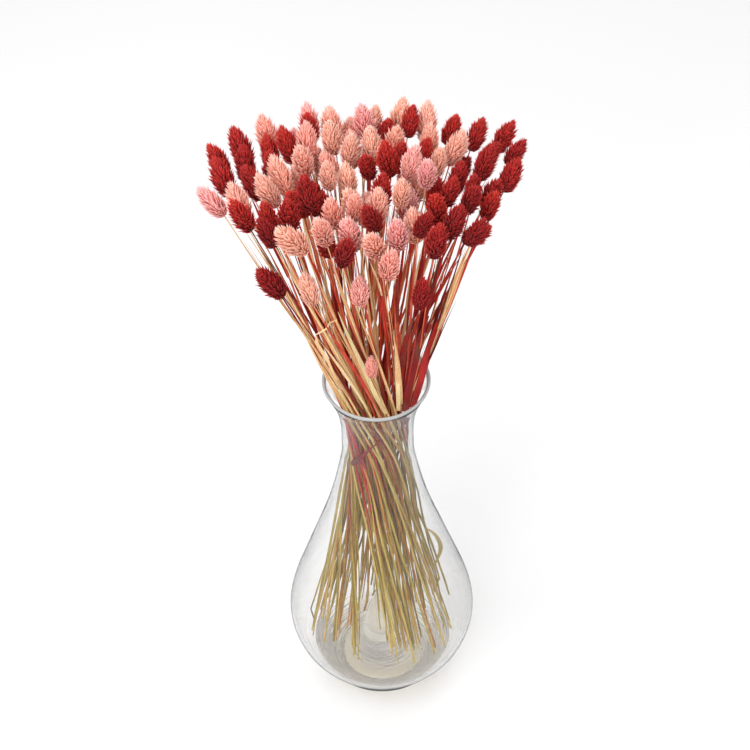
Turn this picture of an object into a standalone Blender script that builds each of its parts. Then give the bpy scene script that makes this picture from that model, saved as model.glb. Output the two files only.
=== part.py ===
"""Dried canary grass, dyed red and pink, standing in a clear glass vase."""

import math
import random

import bmesh
import bpy
import numpy as np
from mathutils import Matrix, Vector

# Vase, in metres: radius and height of its outside, from the rim down to the foot
VASE_OUTSIDE = (
    (0.0426, 0.3946),
    (0.0385, 0.3845),
    (0.0332, 0.3690),
    (0.0298, 0.3490),
    (0.0292, 0.3250),
    (0.0310, 0.2980),
    (0.0426, 0.2400),
    (0.0600, 0.1800),
    (0.0702, 0.1460),
    (0.0795, 0.1140),
    (0.0832, 0.0900),
    (0.0790, 0.0680),
    (0.0690, 0.0490),
    (0.0560, 0.0300),
    (0.0432, 0.0090),
    (0.0355, 0.0000),
)
WALL = 0.0026
RIM_HEIGHT = 0.3960
INSIDE_ENDS_AT = 0.0400
# The solid glass bump in the middle of the floor, from its top out to the floor
FLOOR_BUMP = (
    (0.0000, 0.1010),
    (0.0052, 0.0988),
    (0.0090, 0.0925),
    (0.0121, 0.0820),
    (0.0158, 0.0620),
    (0.0205, 0.0430),
    (0.0280, 0.0230),
    (0.0340, 0.0160),
    (0.0420, 0.0165),
)
VASE_SIDES = 28

# Bunch: rings of stalks, each ring with six more than the one inside it
RING_COUNTS = (2, 8, 14, 20, 26, 32)
WAIST_HEIGHT = 0.3250
WAIST_RADIUS = 0.0236
LEAN_ABOVE = 0.326
LEAN_BELOW = 0.210
BEND_HEIGHT = 0.500
CROWN_HEIGHT = 0.6050
CROWN_DROP = 0.0160
CROWN_FLATTEN = 0.37
CROWN_SHIFT = complex(-0.003, 0.0135)
# Stalks lean back by this much for each square metre of their distance to the side
SIDES_BACK = 2.0
SWAY_STARTS = 0.40
SWAY_FULL = 0.60
SWAY_SPREAD = (0.005, 0.005)
SPOT_SLIP_ROUND = 0.09
SPOT_SLIP_OUT = 0.07

# Stalk and head
STEM_RADIUS = 0.0011
STEM_SINKS = 0.0060
HEAD_LENGTH = 0.0310
HEAD_RADIUS = 0.0084
HEAD_SIZES = (0.84, 1.10)
HEAD_WIDTHS = (0.88, 1.02)
HEAD_DEPTH = 0.050
HEAD_UNEVEN = 0.011
# A head leans out a little more than its stem does, and each leans its own way as well
HEAD_LEANS = 1.20
HEAD_LEAN_SPREAD = 0.13
HEAD_COLUMNS = 8
HEAD_ROWS = 7
MATES_APART = 0.0009
FEET_START = 0.030
FEET_SPREAD = 0.038
FRONT_FEET_RISE = 0.45
GLASS_GAP = 0.0018

# Stalks cut short: x and y of the head, height of its foot, its size and colour, and how far
# the head leans to the right and back for each metre up
SHORT_STALKS = (
    (-0.072, -0.034, 0.525, 1.06, "red", complex(-0.65, 0.05)),
    (-0.005, -0.055, 0.454, 0.62, "pink", complex(0.00, 0.45)),
    (-0.047, -0.058, 0.537, 0.92, "pink", complex(-0.25, 0.40)),
    (-0.012, -0.060, 0.537, 0.84, "pink", complex(0.00, 0.30)),
    (0.032, -0.062, 0.533, 0.86, "red", complex(0.15, 0.35)),
    (0.067, -0.020, 0.561, 0.95, "red", complex(0.85, -0.35)),
)
# Where red heads stand among the pink ones: x, y and reach of each patch
RED_PATCHES = (
    (-0.011, -0.0415, 0.003),
    (-0.038, -0.018, 0.007),
    (-0.077, -0.010, 0.016),
    (0.054, -0.016, 0.021),
    (0.081, 0.020, 0.022),
    (0.103, 0.055, 0.009),
    (0.070, 0.072, 0.009),
    (0.021, 0.072, 0.007),
    (-0.100, 0.043, 0.013),
    (-0.072, 0.048, 0.007),
    (-0.052, 0.058, 0.006),
    (-0.047, 0.006, 0.006),
    (-0.014, 0.002, 0.004),
    (0.004, 0.026, 0.006),
    (0.027, 0.036, 0.006),
)
COLOURS = {
    "red": (0.36, 0.018, 0.022, 1.0),
    "pink": (0.79, 0.33, 0.27, 1.0),
    "glass": (0.93, 0.96, 0.95, 1.0),
}

LEAF_COUNT = 12
LEAF_WIDTH = 0.0048
LEAF_THICK = 0.0010
LEAF_STATIONS = 5

AXIS_STEP = 0.02
SETTLE_ROUNDS = 140
SETTLE_LEVELS = np.arange(0.44, 0.66, 0.006)
SETTLE_STEP = 0.09
MOST_PUSH = 0.004
HEAD_CLEARANCE = 0.0005
DRAWS = random.Random(29)


def clear_scene():
    for old in list(bpy.data.objects):
        bpy.data.objects.remove(old, do_unlink=True)


def new_collection(name):
    made = bpy.data.collections.new(name)
    bpy.context.scene.collection.children.link(made)
    return made


def new_material(name, roughness, transmission=0.0):
    made = bpy.data.materials.new(name)
    made.use_nodes = True
    shader = made.node_tree.nodes["Principled BSDF"]
    shader.inputs["Base Color"].default_value = COLOURS[name]
    shader.inputs["Roughness"].default_value = roughness
    shader.inputs["Metallic"].default_value = 0.0
    shader.inputs["Transmission Weight"].default_value = transmission
    made.diffuse_color = COLOURS[name]
    return made


def inside_wall():
    """The outside profile moved in by the wall, from the rim down to the thick floor."""
    points = [Vector(p) for p in VASE_OUTSIDE]
    moved = []
    for before, here, after in zip(points, points[1:], points[2:]):
        along = (after - before).normalized()
        inward = Vector((along.y, -along.x))
        if inward.x > 0:
            inward.negate()
        if here.y > INSIDE_ENDS_AT:
            moved.append(here + inward * WALL)
    return [Vector((points[0].x - WALL, points[0].y))] + moved


def build_vase(collection, material):
    """A turned profile: over the bump, out and up the inside, over the lip and down the outside."""
    inside = inside_wall()
    lip = Vector(((inside[0].x + VASE_OUTSIDE[0][0]) / 2, RIM_HEIGHT))
    profile = [Vector(p) for p in FLOOR_BUMP] + inside[::-1] + [lip]
    profile += [Vector(p) for p in VASE_OUTSIDE] + [Vector((0, 0))]
    mesh = bpy.data.meshes.new("vase")
    edges = [(i, i + 1) for i in range(len(profile) - 1)]
    mesh.from_pydata([(p.x, 0, p.y) for p in profile], edges, [])
    vase = bpy.data.objects.new("vase", mesh)
    collection.objects.link(vase)
    turn = vase.modifiers.new("Turn", "SCREW")
    turn.axis = "Z"
    turn.steps = VASE_SIDES
    turn.render_steps = VASE_SIDES
    turn.use_merge_vertices = True
    turn.merge_threshold = 0.00005
    turn.use_smooth_shade = True
    mesh.materials.append(material)


def ring_spots():
    """Spots in a unit disc, ring by ring and in order round each ring, each a little off its place."""
    spots = []
    step = 1 / (len(RING_COUNTS) - 0.5)
    for ring, count in enumerate(RING_COUNTS):
        start = DRAWS.uniform(0, math.tau)
        for i in range(count):
            angle = start + math.tau * (i + DRAWS.uniform(-1, 1) * SPOT_SLIP_ROUND) / count
            radius = step * (ring + 0.5 + DRAWS.uniform(-1, 1) * SPOT_SLIP_OUT)
            spots.append(complex(math.cos(angle), math.sin(angle)) * min(radius, 1))
    return np.array(spots)


def place(spots, height):
    """Where stalks pass this height, if none sways: rods that twist through a waist and spread above."""
    above = np.maximum(height - WAIST_HEIGHT, 0)
    below = np.minimum(height - WAIST_HEIGHT, 0)
    lean = LEAN_ABOVE * above + LEAN_BELOW * below
    at = spots * (WAIST_RADIUS - 1j * lean)
    crown = np.clip((height - RIM_HEIGHT) / (CROWN_HEIGHT - RIM_HEIGHT), 0, 1)
    back = at.imag * (1 - CROWN_FLATTEN * crown) + SIDES_BACK * crown * at.real**2
    return at.real + 1j * back + CROWN_SHIFT * crown


def sway_share(height):
    return np.clip((height - SWAY_STARTS) / (SWAY_FULL - SWAY_STARTS), 0, 2) ** 1.3


class Bunch:
    """All stalks as arrays: a spot, a sway, and where and how each head sits."""

    def __init__(self):
        self.spots = ring_spots()
        count = len(self.spots)
        self.fixed = np.zeros(count, bool)
        self.colour = [None] * count
        sunk = np.array([HEAD_DEPTH * DRAWS.random() ** 2 for _ in range(count)])
        uneven = np.array([DRAWS.uniform(-1, 1) * HEAD_UNEVEN for _ in range(count)])
        self.size = np.array([DRAWS.uniform(*HEAD_SIZES) for _ in range(count)])
        self.width = np.array([DRAWS.uniform(*HEAD_WIDTHS) for _ in range(count)])
        self.spin = np.array([DRAWS.uniform(0, math.tau) for _ in range(count)])
        self.lowest = np.array([FEET_START + FEET_SPREAD * DRAWS.random() for _ in range(count)])
        # The crown is domed, and its middle hides more sunken heads than its edge
        out = abs(self.spots)
        middle = CROWN_HEIGHT - CROWN_DROP * out**2 - (sunk + uneven) * (1.2 - out)
        self.base = middle - HEAD_LENGTH * self.size / 2
        across, along = SWAY_SPREAD
        self.sway = np.array([complex(DRAWS.gauss(0, across), DRAWS.gauss(0, along)) for _ in range(count)])
        spread = HEAD_LEAN_SPREAD
        self.lean = np.array([complex(DRAWS.gauss(0, spread), DRAWS.gauss(0, spread)) for _ in range(count)])
        for x, y, base, size, colour, lean in SHORT_STALKS:
            self.cut_short(complex(x, y), base, size, colour, lean)

    def cut_short(self, target, base, size, colour, lean):
        middle = base + HEAD_LENGTH * size / 2
        away = np.where(self.fixed, np.inf, abs(place(self.spots, middle) - target))
        chosen = int(away.argmin())
        self.base[chosen] = base
        self.size[chosen] = size
        self.sway[chosen] = (target - place(self.spots[chosen], middle)) / sway_share(middle)
        foot, slope = self.head_axes()
        self.lean[chosen] += lean - slope[chosen]
        self.colour[chosen] = colour
        self.fixed[chosen] = True

    def at(self, height, chosen=slice(None)):
        return place(self.spots[chosen], height) + self.sway[chosen] * sway_share(height)

    def head_axes(self):
        """Foot of every head in plan, and how far its axis moves sideways for each metre up."""
        foot = self.at(self.base)
        below = self.at(self.base - AXIS_STEP)
        return foot, (foot - below) / AXIS_STEP * HEAD_LEANS + self.lean

    def settle(self):
        """Moves the heads apart until none touches another head or a stem that passes it."""
        for _ in range(SETTLE_ROUNDS):
            foot, slope = self.head_axes()
            tall = HEAD_LENGTH * self.size / np.sqrt(1 + abs(slope) ** 2)
            push = np.zeros(len(self.spots), complex)
            for level in SETTLE_LEVELS:
                share = (level - self.base) / tall
                where = np.where(share > 0, foot + slope * (level - self.base), self.at(level))
                bulge = np.sqrt(np.clip(1 - (2 * share - 0.95) ** 2, 0, 1))
                swell = HEAD_RADIUS * self.size * self.width * bulge
                radius = STEM_RADIUS + swell * np.sqrt(1 + abs(slope) ** 2)
                present = share < 1.1
                gap = where[:, None] - where[None, :]
                apart = abs(gap) + np.eye(len(where))
                needed = radius[:, None] + radius[None, :] + HEAD_CLEARANCE
                short = np.clip(needed - apart, 0, MOST_PUSH) * present[:, None] * present[None, :]
                np.fill_diagonal(short, 0)
                push += (gap / apart * short).sum(axis=1) / max(sway_share(level), 0.2)
            self.sway += np.where(self.fixed, 0, SETTLE_STEP * push)

    def pairs(self):
        """Neighbours round each ring, two by two."""
        start = 0
        for count in RING_COUNTS:
            for i in range(0, count, 2):
                yield start + i, start + i + 1
            start += count

    def pair_colour(self, pair):
        for i in pair:
            if self.colour[i]:
                return self.colour[i]
        foot, slope = self.head_axes()
        middle = sum(foot[i] + slope[i] * HEAD_LENGTH / 2 for i in pair) / 2
        red = any(abs(middle - complex(x, y)) < reach for x, y, reach in RED_PATCHES)
        return "red" if red else "pink"

    def foot_height(self, i):
        """The lowest height that the stem reaches before the bump, the floor or the wall stops it."""
        inside = inside_wall()
        wall_heights = [FLOOR_BUMP[-1][1]] + [p.y for p in inside[::-1]]
        wall_radii = [FLOOR_BUMP[-1][0]] + [p.x for p in inside[::-1]]
        bump_radii = [p[0] for p in FLOOR_BUMP[-2::-1]]
        bump_heights = [p[1] for p in FLOOR_BUMP[-2::-1]]
        height = 0.15
        while height > FLOOR_BUMP[-1][1] + 2 * GLASS_GAP:
            radius = float(abs(self.at(height, i)))
            if radius > np.interp(height, wall_heights, wall_radii) - 2 * GLASS_GAP:
                break
            bump_radius = np.interp(height, bump_heights, bump_radii)
            if height < bump_heights[-1] + GLASS_GAP and radius < bump_radius + 2 * GLASS_GAP:
                break
            height -= 0.001
        front = max(0.0, -float(self.at(height, i).imag))
        return max(height + 0.001, float(self.lowest[i]) + FRONT_FEET_RISE * front)

    def stem_points(self, i, mate):
        """Points up one stem, which meets its mate at the waist and ends inside its head."""
        points = []
        base = float(self.base[i])
        for height in (self.foot_height(i), WAIST_HEIGHT, RIM_HEIGHT, BEND_HEIGHT, base):
            if height > base or (height < base and base - height < 0.02):
                continue
            spot = self.at(height, i)
            if height == WAIST_HEIGHT:
                other = self.at(height, mate)
                middle = (spot + other) / 2
                spot = middle + (spot - other) / abs(spot - other) * MATES_APART / 2
            points.append(Vector((spot.real, spot.imag, height)))
        up = (points[-1] - points[-2]).normalized()
        points.append(points[-1] + up * STEM_SINKS)
        return points

    def head_matrix(self, i):
        foot, slope = self.head_axes()
        along = Vector((slope[i].real, slope[i].imag, 1)).normalized()
        turn = along.to_track_quat("Z", "Y").to_matrix().to_4x4()
        wide = self.size[i] * self.width[i]
        scale = Matrix.Diagonal((wide, wide, self.size[i], 1))
        move = Matrix.Translation((foot[i].real, foot[i].imag, self.base[i]))
        return move @ turn @ Matrix.Rotation(self.spin[i], 4, "Z") @ scale


def head_mesh():
    """One head: an egg whose rows of points turn about into scale tips and the hollows between."""
    shape = bmesh.new()
    bmesh.ops.create_uvsphere(shape, u_segments=HEAD_COLUMNS, v_segments=HEAD_ROWS, radius=1)
    hollows = set()
    spare = []
    for vert in shape.verts:
        row = round(math.acos(max(-1, min(1, -vert.co.z))) / math.pi * HEAD_ROWS)
        column = round(math.atan2(vert.co.y, vert.co.x) / math.tau * HEAD_COLUMNS)
        share = row / HEAD_ROWS
        if row in (0, HEAD_ROWS):
            vert.co = (0, 0, HEAD_LENGTH * (0.02 if row == 0 else 1))
            continue
        # Egg shape, fullest a little under halfway
        swell = math.sin(math.pi * share**0.82) ** 0.60
        tip = (row + column) % 2 == 0
        radius = HEAD_RADIUS * swell * (1.0 if tip else 0.72)
        lift = 0.075 if tip else -0.015
        angle = column * math.tau / HEAD_COLUMNS
        vert.co = (
            radius * math.cos(angle),
            radius * math.sin(angle),
            HEAD_LENGTH * min(0.93, share * 0.94 + lift),
        )
        if not tip and row == 1:
            spare.append(vert)
        elif not tip:
            hollows.add(vert)
    bmesh.ops.dissolve_verts(shape, verts=spare)
    for face in [f for f in shape.faces if len(f.verts) == 4]:
        low = [v for v in face.verts if v in hollows]
        bmesh.utils.face_split(face, low[0], low[1])
    bmesh.ops.triangulate(shape, faces=shape.faces)
    mesh = bpy.data.meshes.new("head")
    shape.to_mesh(mesh)
    shape.free()
    return mesh


def stem_outline(guides):
    """The three-sided outline that every stem's curve carries."""
    curve = bpy.data.curves.new("stem_outline", "CURVE")
    curve.dimensions = "2D"
    line = curve.splines.new("POLY")
    line.points.add(2)
    for i, point in enumerate(line.points):
        angle = i * math.tau / 3
        point.co = (STEM_RADIUS * math.cos(angle), STEM_RADIUS * math.sin(angle), 0, 1)
    line.use_cyclic_u = True
    outline = bpy.data.objects.new("stem_outline", curve)
    outline.hide_render = True
    outline.display_type = "WIRE"
    guides.objects.link(outline)
    return outline


def stem_curve(points, outline, guides):
    curve = bpy.data.curves.new("stem", "CURVE")
    curve.dimensions = "3D"
    curve.bevel_mode = "OBJECT"
    curve.bevel_object = outline
    curve.use_fill_caps = True
    line = curve.splines.new("POLY")
    line.points.add(len(points) - 1)
    for point, co in zip(line.points, points):
        point.co = (*co, 1)
    stem = bpy.data.objects.new("stem", curve)
    guides.objects.link(stem)
    return stem


def mesh_from_curve(curve_object, collection, graph):
    mesh = bpy.data.meshes.new_from_object(curve_object.evaluated_get(graph))
    shape = bmesh.new()
    shape.from_mesh(mesh)
    bmesh.ops.remove_doubles(shape, verts=shape.verts, dist=0.00001)
    bmesh.ops.recalc_face_normals(shape, faces=shape.faces)
    shape.to_mesh(mesh)
    shape.free()
    made = bpy.data.objects.new("stem", mesh)
    made.matrix_world = curve_object.matrix_world
    collection.objects.link(made)
    bpy.data.objects.remove(curve_object)
    return made


def leaf_blade(bunch, i, start, length, bow, collection):
    """A narrow dry leaf that leaves its stem at a slant, bows out and ends in a point."""
    shape = bmesh.new()
    rings = []
    for station in range(LEAF_STATIONS):
        share = station / (LEAF_STATIONS - 1)
        height = start + length * share
        here = bunch.at(height, i)
        ahead = bunch.at(height + 0.01, i)
        along = Vector(((ahead - here).real, (ahead - here).imag, 0.01)).normalized()
        out = Vector((here.real, here.imag, 0)).normalized()
        across = along.cross(out).normalized()
        out = across.cross(along)
        middle = Vector((here.real, here.imag, height)) + out * bow * share**1.7
        wide = LEAF_WIDTH * (0.75, 1.0, 0.95, 0.62, 0.12)[station]
        thick = LEAF_THICK * (1.0, 1.0, 1.0, 0.9, 0.7)[station]
        corners = (across * wide / 2, out * thick / 2, -across * wide / 2, -out * thick / 2)
        rings.append([shape.verts.new(middle + corner) for corner in corners])
    for low, high in zip(rings, rings[1:]):
        for k in range(4):
            shape.faces.new((low[k], low[k - 3], high[k - 3], high[k]))
    shape.faces.new(rings[0][::-1])
    shape.faces.new(rings[-1])
    bmesh.ops.recalc_face_normals(shape, faces=shape.faces)
    bmesh.ops.triangulate(shape, faces=shape.faces)
    mesh = bpy.data.meshes.new("leaf")
    shape.to_mesh(mesh)
    shape.free()
    leaf = bpy.data.objects.new("leaf", mesh)
    collection.objects.link(leaf)


def leaf_plans(bunch):
    """Which outer stalks carry a leaf, and how it grows."""
    first = sum(RING_COUNTS[:-1])
    outer = [i for i in range(first, first + RING_COUNTS[-1]) if not bunch.fixed[i]]
    plans = {}
    for i in DRAWS.sample(outer, LEAF_COUNT):
        start = DRAWS.uniform(0.405, 0.445)
        length = min(DRAWS.uniform(0.065, 0.110), float(bunch.base[i]) - start - 0.035)
        plans[i] = (start, length, DRAWS.uniform(0.003, 0.007))
    return plans


def join_node(name, body, parts, material, collection):
    """Gives the body a union with all its parts, to be applied once every node has one."""
    body.name = name
    union = body.modifiers.new("Union", "BOOLEAN")
    union.operation = "UNION"
    union.operand_type = "COLLECTION"
    union.collection = parts
    union.solver = "MANIFOLD"
    collection.objects.link(body)
    body.data.materials.append(material)
    return body


def apply_unions(nodes):
    graph = bpy.context.evaluated_depsgraph_get()
    for body, parts in nodes:
        fused = bpy.data.meshes.new_from_object(body.evaluated_get(graph))
        fused.name = body.name
        body.modifiers.clear()
        body.data = fused
        body.data.set_sharp_from_angle(angle=math.radians(50))
    for body, parts in nodes:
        for old in list(parts.objects):
            bpy.data.objects.remove(old, do_unlink=True)
        bpy.data.collections.remove(parts)


def build_grass(bunch, collection, guides, materials):
    pairs = list(bunch.pairs())
    outline = stem_outline(guides)
    curves = {}
    for a, b in pairs:
        curves[a] = stem_curve(bunch.stem_points(a, b), outline, guides)
        curves[b] = stem_curve(bunch.stem_points(b, a), outline, guides)
    graph = bpy.context.evaluated_depsgraph_get()
    head = head_mesh()
    leaves = leaf_plans(bunch)
    nodes = []
    counts = {"red": 0, "pink": 0}
    for a, b in pairs:
        colour = bunch.pair_colour((a, b))
        counts[colour] += 1
        parts = new_collection("parts")
        body = mesh_from_curve(curves[a], guides, graph)
        guides.objects.unlink(body)
        mesh_from_curve(curves[b], parts, graph)
        for i in (a, b):
            made = bpy.data.objects.new("head", head)
            made.matrix_world = bunch.head_matrix(i)
            parts.objects.link(made)
            if i in leaves:
                leaf_blade(bunch, i, *leaves[i], parts)
        name = f"{colour}_grass_{counts[colour]:02d}"
        nodes.append((join_node(name, body, parts, materials[colour], collection), parts))
    bpy.context.view_layer.update()
    apply_unions(nodes)
    bpy.data.objects.remove(outline)


def main():
    clear_scene()
    collection = new_collection("dried_canary_grass")
    guides = new_collection("guides")
    guides.hide_render = True
    materials = {
        "red": new_material("red", 0.9),
        "pink": new_material("pink", 0.9),
    }
    build_vase(collection, new_material("glass", 0.05, 1.0))
    bunch = Bunch()
    bunch.settle()
    build_grass(bunch, collection, guides, materials)


main()
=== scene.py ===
import math
import random
from functools import partial

import bmesh
import bpy
import numpy as np
from mathutils import Matrix, Vector


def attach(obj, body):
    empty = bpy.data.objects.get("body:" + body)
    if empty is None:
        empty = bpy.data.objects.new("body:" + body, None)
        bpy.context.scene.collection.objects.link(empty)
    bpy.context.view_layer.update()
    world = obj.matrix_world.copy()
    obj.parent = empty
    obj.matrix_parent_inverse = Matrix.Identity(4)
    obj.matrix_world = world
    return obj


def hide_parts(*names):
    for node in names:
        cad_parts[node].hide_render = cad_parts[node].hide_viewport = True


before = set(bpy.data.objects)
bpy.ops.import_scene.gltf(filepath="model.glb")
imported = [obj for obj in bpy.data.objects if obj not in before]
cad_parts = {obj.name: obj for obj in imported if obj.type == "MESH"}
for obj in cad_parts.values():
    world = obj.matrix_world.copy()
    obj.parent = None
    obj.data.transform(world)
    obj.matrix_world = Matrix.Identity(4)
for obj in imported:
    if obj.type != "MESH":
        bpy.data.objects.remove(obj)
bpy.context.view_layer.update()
scene = bpy.context.scene
print("frame loaded,", len(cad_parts), "nodes")


# Helpers for node trees

def plug(tree, node, plugs):
    for key, value in plugs.items():
        if isinstance(value, bpy.types.NodeSocket):
            tree.links.new(value, node.inputs[key])
        else:
            node.inputs[key].default_value = value


def newNode(tree, kind, plugs=None, **settings):
    node = tree.nodes.new(kind)
    for name, value in settings.items():
        setattr(node, name, value)
    plug(tree, node, plugs or {})
    return node


# Adds a node and gives what comes out of it
def addNode(tree, kind, plugs=None, pick=0, **settings):
    return newNode(tree, kind, plugs, **settings).outputs[pick]


def calc(tree, operation, *values, clamp=False):
    return addNode(tree, "ShaderNodeMath", dict(enumerate(values)), operation=operation, use_clamp=clamp)


def times(tree, value, *others):
    for other in others:
        value = calc(tree, "MULTIPLY", value, other)
    return value


def readNumber(tree, name, kind="FLOAT"):
    return addNode(tree, "GeometryNodeInputNamedAttribute", {"Name": name}, data_type=kind, pick="Attribute")


def storeNumber(tree, geometry, name, value):
    plugs = {"Geometry": geometry, "Name": name, "Value": value}
    return addNode(tree, "GeometryNodeStoreNamedAttribute", plugs, data_type="FLOAT", domain="POINT")


def drawNumber(tree, low, high, seed, own):
    plugs = {2: low, 3: high, 7: own, 8: seed}      # the node's sockets for plain numbers
    return addNode(tree, "FunctionNodeRandomValue", plugs, pick=1, data_type="FLOAT")


def drawnCurve(tree, factor, points):
    node = newNode(tree, "ShaderNodeFloatCurve", {"Value": factor})
    line = node.mapping.curves[0]
    node.mapping.clip_max_y = 2
    for point in points[1:-1]:
        line.points.new(*point)
    line.points[0].location = points[0]
    line.points[-1].location = points[-1]
    node.mapping.update()
    return node.outputs[0]


def newTree(name, inputs):
    tree = bpy.data.node_groups.new(name, "GeometryNodeTree")
    for label, kind in {"Geometry": "Geometry", **inputs}.items():
        tree.interface.new_socket(name=label, in_out="INPUT", socket_type="NodeSocket" + kind)
    tree.interface.new_socket(name="Geometry", in_out="OUTPUT", socket_type="NodeSocketGeometry")
    return tree, tree.nodes.new("NodeGroupInput").outputs


# Ends a tree the way every tree here ends: real geometry with its material on it
def endTree(tree, geometry, material):
    real = addNode(tree, "GeometryNodeRealizeInstances", {"Geometry": geometry})
    smooth = addNode(tree, "GeometryNodeSetShadeSmooth", {"Geometry": real, "Shade Smooth": True})
    painted = addNode(tree, "GeometryNodeSetMaterial", {"Geometry": smooth, "Material": material})
    newNode(tree, "NodeGroupOutput", {0: painted})


# Helpers for meshes

def addObject(name, data):
    made = bpy.data.objects.new(name, data)
    scene.collection.objects.link(made)
    return made


def finishShape(name, shape):
    bmesh.ops.recalc_face_normals(shape, faces=shape.faces)
    for face in shape.faces:
        face.smooth = True
    mesh = bpy.data.meshes.new(name)
    shape.to_mesh(mesh)
    shape.free()
    return addObject(name, mesh)


# A level ring of points, which ridges may draw in
def ring(radius, height, sides, ridges=0, depth=0.0):
    points = []
    for k in range(sides):
        angle = math.tau * k / sides
        out = radius - depth * (1 + math.cos(angle * ridges))
        points.append((out * math.cos(angle), out * math.sin(angle), height))
    return points


# A closed turned shape through rings of points, from a point on the axis to another
def turnedShape(name, first, rings, last):
    shape = bmesh.new()
    first, last = shape.verts.new(first), shape.verts.new(last)
    rows = [[shape.verts.new(point) for point in points] for points in rings]
    for k in range(len(rows[0])):
        after = (k + 1) % len(rows[0])
        shape.faces.new((first, rows[0][after], rows[0][k]))
        shape.faces.new((last, rows[-1][k], rows[-1][after]))
        for low, high in zip(rows, rows[1:]):
            shape.faces.new((low[k], low[after], high[after], high[k]))
    return finishShape(name, shape)


# Adds a point, joined to the one before or not, with the numbers and vectors it carries
def addPoint(lines, joined, point, **carried):
    if joined:
        lines["edges"].append((len(lines["points"]) - 1, len(lines["points"])))
    lines["points"].append(tuple(point))
    for key, value in carried.items():
        lines.setdefault(key, []).append(value)


# Runs a tree on lines of points and keeps the result as a plain mesh
def grow(name, lines, tree, values):
    mesh = bpy.data.meshes.new(name)
    mesh.from_pydata(lines.pop("points"), lines.pop("edges"), [])
    for key, carried in lines.items():
        kind, field = ("FLOAT_VECTOR", "vector") if np.ndim(carried) == 2 else ("FLOAT", "value")
        mesh.attributes.new(key, kind, "POINT").data.foreach_set(field, np.ravel(carried).tolist())
    start = addObject(name + "_start", mesh)
    modifier = start.modifiers.new("Grow", "NODES")
    modifier.node_group = tree
    for item in tree.interface.items_tree:
        if item.in_out == "INPUT" and item.name in values:
            modifier[item.identifier] = values[item.name]
    graph = bpy.context.evaluated_depsgraph_get()
    grown = bpy.data.meshes.new_from_object(start.evaluated_get(graph))
    bpy.data.objects.remove(start)
    grown.name = name
    print(name, len(grown.polygons), "faces")
    return addObject(name, grown)


# The bunch: the same rule, seed and order of draws as the solids have

glass = {
    # Radius and height of the outside, from the rim down to the foot
    "outside": (
        (0.0426, 0.3946), (0.0385, 0.3845), (0.0332, 0.3690), (0.0298, 0.3490),
        (0.0292, 0.3250), (0.0310, 0.2980), (0.0426, 0.2400), (0.0600, 0.1800),
        (0.0702, 0.1460), (0.0795, 0.1140), (0.0832, 0.0900), (0.0790, 0.0680),
        (0.0690, 0.0490), (0.0560, 0.0300), (0.0432, 0.0090), (0.0355, 0.0000),
    ),
    # The solid bump in the middle of the floor, from its top out
    "bump": (
        (0.0000, 0.1010), (0.0052, 0.0988), (0.0090, 0.0925), (0.0121, 0.0820), (0.0158, 0.0620),
        (0.0205, 0.0430), (0.0280, 0.0230), (0.0340, 0.0160), (0.0420, 0.0165),
    ),
    # The way from the foot to the middle of the ground underside
    "heel": (
        (0.0404, 0.0050), (0.0385, 0.0022), (0.0368, 0.0006), (0.0355, 0.0000),
        (0.0335, 0.0000), (0.0315, 0.0005), (0.0280, 0.0009), (0.0150, 0.0011),
    ),
    "wall": 0.0026,
    "rimHeight": 0.3960,
    "insideEndsAt": 0.0400,
    "gap": 0.0018,
    "sides": 192,
    "stepsEach": 6,      # points between two points of the profile
    "knurls": 48,        # little ridges round the foot
    "knurlDepth": 0.0004,
    "knurlsEnd": 0.008,
}

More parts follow.
